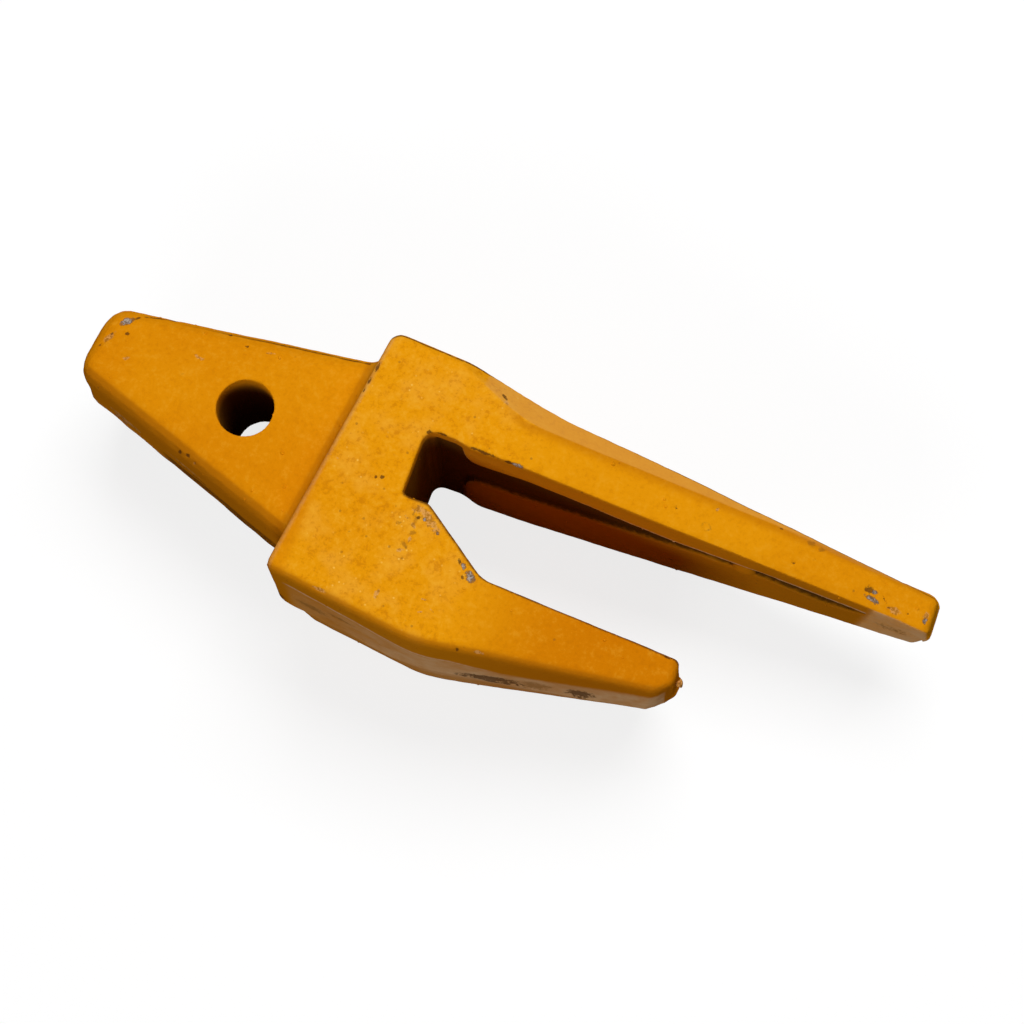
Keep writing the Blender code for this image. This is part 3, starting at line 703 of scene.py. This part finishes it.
def parting_ridge(x, y, z, normal):
    """Shares of the ridge where the two mould halves met, and of the step that it leaves above."""
    in_mouth = (x > THROAT_X - 3) & (y > SHORT_LAND_Y - 3) & (y < LONG_LAND_Y + 6) & (x < LONG_END_X - 3)
    in_hole = np.hypot(x, y) < 14.0
    steep = fall(abs(normal[:, 2]), 0.25, 0.55)
    line = PARTING_Z + 0.7 * np.sin(x / 17.0 + 0.8) + 0.35 * np.sin(x / 5.3 + y / 9.0)
    strength = 0.62 + 0.38 * np.sin(x / 11.0 + 1.3 * np.sin(x / 4.1))
    ridge = np.exp(-((z - line) / 0.75) ** 2) * strength * steep
    step = rise(z - line, -0.4, 0.4) * np.exp(-np.clip(z - line, 0, None) / 6.0) * steep
    outside = ~(in_mouth | in_hole)
    return ridge * outside, step * outside


def depth_of_colour(x, y):
    """How orange the paint is: least on the body, more on nose and straps, most on the short strap's end."""
    nose = 0.48 * fall(x, 40.0, 46.0)
    straps = 0.22 * rise(x, 100.0, 150.0)
    short = 0.80 * rise(x, 96.0, 172.0) * fall(y, -26.0, -12.0)
    return np.clip(nose + straps + short, 0.0, 1.0)


def near_face(x):
    """Height of the long strap's upper face at a place along it."""
    return 2 * PARTING_Z - 0.1895 * np.clip(x - 112.0, 0.0, None)


def shade_and_grime_in_mouth(x, y, z, normal):
    """Share of painted shade, with some real grime: heavy in throat and relief channel, lighter on the far
    rail, some in the pin hole.
    """
    in_slot = (x > THROAT_X - 1.5) & (abs(y - LONG_LAND_Y + 10.0) < 17.0) & (x < CHANNEL_END_X)
    below_face = rise(near_face(x) - z, 4.0, 9.0)
    ceiling = in_slot & (y > LONG_LAND_Y - 2.5) & (normal[:, 1] < 0.3)
    recess = 0.90 * rise(y, LONG_LAND_Y + 0.4, LONG_LAND_Y + 1.2)
    far_rail = 0.14 * fall(z, 52.0, 62.0)
    throat = 0.80 * fall(x, THROAT_X + 4.0, THROAT_X + 16.0)
    back_wall = in_slot & (x < THROAT_X + 16.0) & (normal[:, 2] < 0.5)
    hole = (np.hypot(x, y) < 12.6) * fall(z, 70.0, 86.0)
    slot = np.maximum(np.maximum(recess, far_rail) * ceiling, throat * back_wall) * below_face
    return np.clip(np.maximum(slot, 0.85 * hole), 0.0, 1.0)


def channel_edges(x, y, z, normal, bend):
    """Lips of the relief channel, paler by painted highlight and some worn paint, and the painted shade line
    under its near rail.
    """
    on_inner = (abs(y - LONG_LAND_Y) < 2.0) & (normal[:, 2] < 0.4)
    on_inner = on_inner & (x > THROAT_X + 14.0) & (x < CHANNEL_END_X)
    convex = rise(-bend, 60.0, 220.0)
    lip = convex * on_inner * rise(near_face(x) - z, 4.0, 6.0) * (z > 30.0)
    below_ridge = near_face(x) - 100.0 * np.interp(x, *zip(*NEAR_RAIL)) - z
    ridge = np.exp(-((below_ridge + 0.9) / 0.8) ** 2) * on_inner * rise(x, 120.0, 215.0)
    gutter = np.exp(-((below_ridge - 0.8) / 0.9) ** 2) * on_inner
    return np.maximum(lip, ridge), gutter


def weld_bevel(x, y, normal):
    """The weld bevel on the long strap, which gets a painted sheen, and the shade along its fold."""
    fold_y = BEVEL_FOLD_Y + 0.44 * np.clip(BEVEL_START_X - x, 0.0, None)
    bevel = rise(normal[:, 1], 0.30, 0.60) * rise(normal[:, 2], 0.30, 0.60)
    bevel = bevel * (y > fold_y - 2.0) * (x > BEVEL_TIP_X)
    fold = rise(y, fold_y - 4.5, fold_y - 0.8) * fall(y, fold_y - 0.2, fold_y + 0.8) * rise(x, 98.0, 112.0)
    return bevel, fold * rise(normal[:, 2], 0.4, 0.8)


def shoulder_edges(x, y, z, normal):
    """Painted shade in the corner under the shoulder, and a painted highlight along the shoulder's edge."""
    past = x - SHOULDER_X - SHOULDER_LEAN * y
    corner = rise(past, -9.0, -5.5) * fall(past, 0.4, 2.2) * fall(z, 97.0, 98.6)
    corner = corner * rise(-normal[:, 0], 0.14, 0.40)
    edge_highlight = fall(abs(past - 1.2), 0.6, 2.2) * rise(z, 97.0, 98.6) * rise(-normal[:, 0], 0.15, 0.45)
    return corner, edge_highlight


def belly_dust_and_sheen(x, y, z, normal):
    """Dust film with painted sheen, and its pale upper edge, on the wall under the body and the short strap.
    """
    top = np.interp(x, *zip(*DUST_TOP))
    share = np.interp(x, *zip(*DUST_SHARE)) * (0.35 + 0.65 * rise(z, 18.0, 56.0))
    on_wall = rise(-normal[:, 1], 0.5, 0.8) * fall(y, -40.0, -30.0) * rise(x, 42.0, 46.0)
    film = share * on_wall * rise(top - z, -2.0, 4.0)
    edge = on_wall * np.exp(-((z - top) / 1.1) ** 2) * fall(x, 110.0, 150.0)
    return film, edge


def lower_dust_and_sheen(x, y, z, normal):
    """Dust with painted sheen on the lower mould half, most of it by the nose's tip, and on the long strap's
    end wall.
    """
    lower = fall(z, PARTING_Z - 1.2, PARTING_Z + 1.0) * fall(abs(normal[:, 2]), 0.45, 0.80)
    in_mouth = (x > THROAT_X - 2) & (y > SHORT_LAND_Y - 1) & (y < LONG_LAND_Y + 8) & (x < CHANNEL_END_X + 2)
    by_tip = fall(x, -54.0, -26.0) * rise(-normal[:, 1], 0.2, 0.6) * (0.3 + 0.7 * rise(z, 16.0, 46.0))
    lower *= 0.13 + 0.72 * by_tip
    end_wall = rise(x, CHANNEL_END_X - 1, CHANNEL_END_X + 4) * (y > 5) * (y < 20)
    end_wall = end_wall * rise(-normal[:, 1], 0.6, 0.9)
    return np.maximum(lower * ~in_mouth, 0.9 * end_wall)


def wall_tones(x, y, z, normal, edges, in_hole):
    """Painted shade: darker orange on walls facing -Y and the edges rounding into them, and a dark line on
    top edges facing +Y; also a dark band across the nose's wall facing -Y.
    """
    on_bevel = (x > BEVEL_TIP_X) & (y > LONG_LAND_Y) & (normal[:, 2] > 0.35)
    up_wall = (normal[:, 1] > 0.40) & (abs(normal[:, 2]) < 0.60) & ~on_bevel & ~in_hole
    down_wall = (normal[:, 1] < -0.35) & (y < -5.0)
    inner_wall = fall(abs(y - LONG_LAND_Y), 2.0, 4.0) * rise(-normal[:, 1], 0.3, 0.8)
    inner_wall = inner_wall * (x > THROAT_X) * (x < CHANNEL_END_X + 2)
    # Painted shade spreading from walls facing -Y over the rounded edges above them
    painted_wall_shade = spread(down_wall.astype(float), edges, len(x), 20)
    by_edge = spread(up_wall.astype(float), edges, len(x), 9)
    top_edge = rise(z - np.where(x < SHOULDER_X, NOSE_EDGE_Z, near_face(x)), -10.0, -6.0)
    # Painted shade on top edges facing +Y
    line = rise(by_edge, 0.06, 0.32) * fall(by_edge, 0.72, 0.97) * top_edge
    under_nose = down_wall * rise(x, -36.0, -26.0) * fall(x, 38.0, 42.0)
    under_nose = under_nose * rise(z, 36.0, 50.0) * fall(z, 55.5, 59.5)
    return np.maximum(painted_wall_shade * (y < -1.0), inner_wall), line, under_nose


def surface_lift(x, y, z, normal, kinds, skin):
    """How far the skin moves out at each vertex, in metres: parting ridge, worn corners and knocks."""
    ridge, step = parting_ridge(x, y, z, normal)
    lift = ridge * skin.ridge_height + step * skin.ridge_height * 0.5
    corner = np.hypot(x - BODY_CORNER[0], y - BODY_CORNER[1])
    lift -= skin.corner_wear * fall(corner, 2.0, 13.0) * fall(z, 34.0, 54.0)
    tip = np.hypot(x - SHORT_END_CORNER[0], y - SHORT_END_CORNER[1])
    lift -= STRAP_CORNER_WEAR * fall(tip, 2.0, 9.0)
    knocks = np.maximum(kinds["pale"], kinds["dark"]) + 0.4 * kinds["scuff"]
    lift -= knocks * skin.chip_depth
    lift -= SKIN_SINK
    inner = (x > THROAT_X + 3.0) & (x < LONG_END_X - 4.0) & (abs(y - LONG_LAND_Y) < 5.0)
    inner = inner & (normal[:, 1] < 0.0)
    lift += inner * FAR_RAIL_SWELL * fall(z, 6.0, 34.0) * rise(x, 92.0, 100.0) * fall(x, 270.0, 292.0)
    at_edge = rise(z - near_face(x), -5.5, 0.0) * fall(abs(y - LONG_LAND_Y), 0.5, 6.0)
    lift -= SLOT_EDGE_WEAR * at_edge * rise(x, 170.0, 215.0) * fall(x, 284.0, 296.0)
    return lift


def mark_casting(mesh, skin):
    """Stores what the skin tree and the paint read, and gives the vertices that are to stay dense."""
    place = vertex_array(mesh, "co")
    normal = vertex_array(mesh, "normal")
    mm = (place - PIN) / MM
    x, y, z = mm.T
    bend, edges = bend_of_surface(mesh, place, normal)
    in_hole = np.hypot(x, y) < HOLE_REACH
    kinds = stamp_marks(mm, normal)
    lip, gutter = channel_edges(x, y, z, normal, bend)
    bevel, fold = weld_bevel(x, y, normal)
    corner, edge_highlight = shoulder_edges(x, y, z, normal)
    film, film_edge = belly_dust_and_sheen(x, y, z, normal)
    painted_wall_shade, line, under_nose = wall_tones(x, y, z, normal, edges, in_hole)
    # Many of these carry painted light: shade on walls, in the slot, in creases, along the fold and on top
    # edges; sheen on the bevel and, with dust, on lower walls; highlight on edge lips.
    values = {
        "lift": surface_lift(x, y, z, normal, kinds, skin),
        "shade_and_grime": np.maximum(shade_and_grime_in_mouth(x, y, z, normal), 0.9 * gutter),
        "lip": np.maximum(np.maximum(lip, 0.18 * edge_highlight), film_edge),
        "bevel": bevel,
        "fold": np.maximum(fold, corner),
        "line": np.maximum(line, 0.9 * under_nose),
        "painted_wall_shade": painted_wall_shade,
        "lower": np.maximum(lower_dust_and_sheen(x, y, z, normal) * ~in_hole, film),
        # Painted shade in concave creases, by how hollow the surface is
        "crease": np.clip(bend / 260.0, 0.0, 1.0),
        "body": rise(x, 41.0, 46.0) * fall(x, BODY_END_X - 18.0, BODY_END_X + 10.0),
        "deep": depth_of_colour(x, y),
        **kinds,
    }
    for name, array in values.items():
        attribute = mesh.attributes.new(name, "FLOAT", "POINT")
        attribute.data.foreach_set("value", array.astype(np.float32))
    sharp = np.maximum.reduce([lip, gutter, film_edge, 4.0 * line * (1.0 - line), under_nose])
    busy = np.minimum(sum(kinds.values()) + 0.5 * (sharp > 0.15), 1.0)
    return np.flatnonzero(spread(busy, edges, len(place), 2) > 0.05)


def start_tree(name, inputs):
    """A Geometry Nodes tree with geometry in and out, the named inputs and a paint, and its input sockets."""
    tree = bpy.data.node_groups.new(name, "GeometryNodeTree")
    tree.interface.new_socket(name="Geometry", in_out="OUTPUT", socket_type="NodeSocketGeometry")
    for label, kind in {"Geometry": "Geometry", **inputs, "Paint": "Material"}.items():
        tree.interface.new_socket(name=label, in_out="INPUT", socket_type="NodeSocket" + kind)
    return tree, add_node(tree, "NodeGroupInput").outputs


def skin_tree():
    """Geometry Nodes: moves the surface by slow swells, sand grain and the stored lift."""
    tree, given = start_tree("cast_skin", {
        "Swell Height": "Float", "Swell Size": "Float", "Grain Height": "Float", "Grain Size": "Float"})
    place = add_node(tree, "GeometryNodeInputPosition").outputs[0]
    facing = add_node(tree, "GeometryNodeInputNormal").outputs["Normal"]
    lift = add_node(tree, "GeometryNodeInputNamedAttribute", {"Name": "lift"}, data_type="FLOAT")
    total = lift.outputs["Attribute"]
    for height, size, detail in (("Swell Height", "Swell Size", 1.0), ("Grain Height", "Grain Size", 2.0)):
        scale = calculate(tree, "DIVIDE", 1.0, given[size])
        wave = add_node(tree, "ShaderNodeTexNoise", {"Vector": place, "Scale": scale, "Detail": detail})
        centred = calculate(tree, "SUBTRACT", wave.outputs["Fac"], 0.5)
        doubled = product(tree, centred, 2.0)
        total = calculate(tree, "MULTIPLY_ADD", doubled, given[height], total)
    offset = add_node(tree, "ShaderNodeVectorMath", {0: facing, "Scale": total}, operation="SCALE")
    moved = add_node(tree, "GeometryNodeSetPosition",
                     {"Geometry": given["Geometry"], "Offset": offset.outputs[0]})
    finish_tree(tree, moved.outputs[0], given["Paint"])
    return tree


def nodule_tree():
    """Geometry Nodes: scatters flattened beads over a surface, each half sunk in it."""
    tree, given = start_tree("casting_nodules", {"Density": "Float", "Radius": "Float", "Seed": "Int"})
    points = add_node(tree, "GeometryNodeDistributePointsOnFaces",
                      {"Mesh": given["Geometry"], "Density": given["Density"], "Seed": given["Seed"]},
                      distribute_method="RANDOM")
    bead = add_node(tree, "GeometryNodeMeshIcoSphere", {"Radius": given["Radius"], "Subdivisions": 2})
    chance = add_node(tree, "FunctionNodeRandomValue", {2: 0.45, 3: 1.5, "Seed": given["Seed"]},
                      data_type="FLOAT")
    size = calculate(tree, "POWER", chance.outputs[1], 1.6)
    flat = add_node(tree, "ShaderNodeCombineXYZ",
                    {0: size, 1: product(tree, size, 1.25), 2: product(tree, size, 0.55)})
    placed = add_node(tree, "GeometryNodeInstanceOnPoints",
                      {"Points": points.outputs["Points"], "Instance": bead.outputs["Mesh"],
                       "Rotation": points.outputs["Rotation"], "Scale": flat.outputs[0]})
    finish_tree(tree, placed.outputs[0], given["Paint"])
    return tree


def finish_tree(tree, geometry, paint):
    """Ends a tree: real geometry with smooth shading and the paint."""
    real = add_node(tree, "GeometryNodeRealizeInstances", {"Geometry": geometry})
    smooth = add_node(tree, "GeometryNodeSetShadeSmooth", {"Geometry": real.outputs[0], "Shade Smooth": True})
    coloured = add_node(tree, "GeometryNodeSetMaterial", {"Geometry": smooth.outputs[0], "Material": paint})
    out = add_node(tree, "NodeGroupOutput")
    tree.links.new(coloured.outputs[0], out.inputs[0])


def use_tree(item, tree, values):
    """Adds a Geometry Nodes modifier and sets its inputs by their sockets' identifiers."""
    modifier = item.modifiers.new(tree.name, "NODES")
    modifier.node_group = tree
    sockets = {socket.name: socket.identifier for socket in tree.interface.items_tree
               if socket.item_type == "SOCKET" and socket.in_out == "INPUT"}
    for name, value in values.items():
        modifier[sockets[name]] = value
    return modifier


def keep_in_cad_box(mesh):
    """Presses the few points that stand proud back into the casting's own box."""
    place = vertex_array(mesh, "co")
    place = np.clip(place, np.array(CAD_BOX[0]), np.array(CAD_BOX[1]))
    mesh.vertices.foreach_set("co", place.astype(np.float32).ravel())
    mesh.update()


def scene_groups():
    scene = bpy.context.scene
    return scene.adapter_skin, scene.adapter_paint, scene.adapter_stage


def shared_paint():
    """The one paint material, made when it is first needed."""
    return bpy.data.materials.get("worn_machine_paint") or machine_paint(scene_groups()[1])


class ADAPTER_OT_casting(bpy.types.Operator):
    """Makes the worn casting that stands for the plain one"""

    bl_idname = "adapter.casting"
    bl_label = "Casting"

    def execute(self, context):
        skin = scene_groups()[0]
        mesh = fine_casting(skin)
        busy = mark_casting(mesh, skin)
        item = link_object("worn_casting", mesh)
        group = item.vertex_groups.new(name="may be thinned")
        group.add(range(len(mesh.vertices)), 1.0, "REPLACE")
        group.add(busy.tolist(), 0.0, "REPLACE")
        use_tree(item, skin_tree(), {
            "Swell Height": skin.swell_height, "Swell Size": skin.swell_size,
            "Grain Height": skin.grain_height, "Grain Size": skin.grain_size, "Paint": shared_paint()})
        thin = item.modifiers.new("thin the flat stretches", "DECIMATE")
        thin.ratio = skin.triangles / (2.0 * len(mesh.polygons))
        thin.vertex_group = group.name
        thin.use_collapse_triangulate = True
        item_mesh = evaluated_mesh(item)
        item.modifiers.clear()
        item.vertex_groups.clear()
        item.data = item_mesh
        keep_in_cad_box(item_mesh)
        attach(item, BODY_NAME)
        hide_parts(CASTING_NODE)
        return {"FINISHED"}


class ADAPTER_OT_nodules(bpy.types.Operator):
    """Scatters small casting nodules over the casting's skin"""

    bl_idname = "adapter.nodules"
    bl_label = "Casting nodules"

    def execute(self, context):
        skin = scene_groups()[0]
        base = bpy.data.objects["worn_casting"]
        item = link_object("casting_nodules", base.data.copy())
        use_tree(item, nodule_tree(), {
            "Density": skin.nodule_density, "Radius": skin.nodule_radius, "Seed": skin.seed,
            "Paint": shared_paint()})
        mesh = evaluated_mesh(item)
        item.modifiers.clear()
        item.data = mesh
        keep_in_cad_box(mesh)
        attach(item, BODY_NAME)
        return {"FINISHED"}


class ADAPTER_OT_burr(bpy.types.Operator):
    """Puts the small burr on the end of the short strap"""

    bl_idname = "adapter.burr"
    bl_label = "Burr"

    def execute(self, context):
        body = bmesh.new()
        bmesh.ops.create_icosphere(body, subdivisions=4, radius=BURR_RADIUS)
        for vert in body.verts:
            x, y, z = vert.co / BURR_RADIUS
            swell = 1.0 + 0.14 * math.sin(4.1 * x + 2.3 * y) + 0.10 * math.sin(6.7 * z + 3.1 * x)
            bead = Vector((0.9 * x, 1.1 * y, 1.2 * z)) * BURR_RADIUS * swell
            vert.co = bead + Vector(PIN) + Vector(BURR_PLACE)
        for face in body.faces:
            face.smooth = True
        mesh = bpy.data.meshes.new("strap_burr")
        body.to_mesh(mesh)
        body.free()
        mesh.materials.append(shared_paint())
        for kind in ("scuff", "stain"):
            worn = mesh.attributes.new(kind, "FLOAT", "POINT")
            worn.data.foreach_set("value", np.full(len(mesh.vertices), 0.9, dtype=np.float32))
        item = link_object("strap_burr", mesh)
        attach(item, BODY_NAME)
        return {"FINISHED"}


class ADAPTER_OT_stage(bpy.types.Operator):
    """Sets up the floor, the two lamps, the room light and the camera"""

    bl_idname = "adapter.stage"
    bl_label = "Stage"

    def execute(self, context):
        props = scene_groups()[2]
        scene = context.scene
        scene.view_settings.view_transform = "Standard"
        self.add_floor(props)
        self.add_lamp("soft_box", props.lamp_power, props.lamp_size, props.lamp_place)
        self.add_lamp("low_fill", props.fill_power, props.fill_size, props.fill_place)
        self.light_room(scene, props)
        camera = bpy.data.cameras.new("photo_camera")
        camera.lens = props.lens
        camera.sensor_width = 36.0
        camera.clip_start = 0.01
        item = link_object("photo_camera", camera)
        item.location = Vector(props.camera_from_pin) + Vector(PIN)
        item.rotation_euler = Euler(props.camera_turn, "XYZ")
        scene.camera = item
        return {"FINISHED"}

    def add_floor(self, props):
        """Round floor that curves up into a low backdrop, so that every side sees a pale surround."""
        radius, bend, height = props.backdrop
        turns = [math.pi / 2 * k / BEND_STEPS for k in range(BEND_STEPS + 1)]
        profile = [(radius - bend + bend * math.sin(turn), bend - bend * math.cos(turn)) for turn in turns]
        profile.append((radius, height))
        body = bmesh.new()
        rings = []
        for reach, level in profile:
            angles = [math.tau * k / FLOOR_SIDES for k in range(FLOOR_SIDES)]
            rings.append([body.verts.new((reach * math.cos(angle), reach * math.sin(angle), level))
                          for angle in angles])
        body.faces.new(rings[0])
        for low, high in zip(rings, rings[1:]):
            for k in range(FLOOR_SIDES):
                body.faces.new((low[k - 1], low[k], high[k], high[k - 1]))
        for face in body.faces:
            face.smooth = len(face.verts) == 4
        mesh = bpy.data.meshes.new("floor")
        body.to_mesh(mesh)
        body.free()
        mesh.materials.append(floor_material(props))
        link_object("floor", mesh)

    def add_lamp(self, name, power, size, place):
        """Soft rectangle of light turned to the middle of the floor."""
        light = bpy.data.lights.new(name, "AREA")
        light.energy = power
        light.shape = "RECTANGLE"
        light.size, light.size_y = size
        item = link_object(name, light)
        item.location = place
        item.rotation_euler = (-item.location).to_track_quat("-Z", "Y").to_euler()

    def light_room(self, scene, props):
        world = bpy.data.worlds.new("dim_room")
        world.use_nodes = True
        scene.world = world
        background = world.node_tree.nodes["Background"]
        background.inputs["Color"].default_value = (1.0, 1.0, 1.0, 1.0)
        background.inputs["Strength"].default_value = props.ambient


class ADAPTER_PT_panel(bpy.types.Panel):
    bl_idname = "ADAPTER_PT_panel"
    bl_label = "Bucket Tooth Adapter"
    bl_space_type = "VIEW_3D"
    bl_region_type = "UI"
    bl_category = "Adapter"

    def draw(self, context):
        for operator in OPERATORS:
            self.layout.operator(operator.bl_idname)
        for group in scene_groups():
            for name in group.__annotations__:
                self.layout.prop(group, name)


GROUPS = {"adapter_skin": AdapterSkin, "adapter_paint": AdapterPaint, "adapter_stage": AdapterStage}
OPERATORS = (ADAPTER_OT_casting, ADAPTER_OT_nodules, ADAPTER_OT_burr, ADAPTER_OT_stage)
CLASSES = (*GROUPS.values(), *OPERATORS, ADAPTER_PT_panel)


def register():
    for item in CLASSES:
        bpy.utils.register_class(item)
    for name, group in GROUPS.items():
        setattr(bpy.types.Scene, name, bpy.props.PointerProperty(type=group))


def unregister():
    for name in GROUPS:
        delattr(bpy.types.Scene, name)
    for item in reversed(CLASSES):
        bpy.utils.unregister_class(item)


def main():
    register()
    bpy.ops.adapter.casting()
    bpy.ops.adapter.nodules()
    bpy.ops.adapter.burr()
    bpy.ops.adapter.stage()


if __name__ == "__main__":
    main()
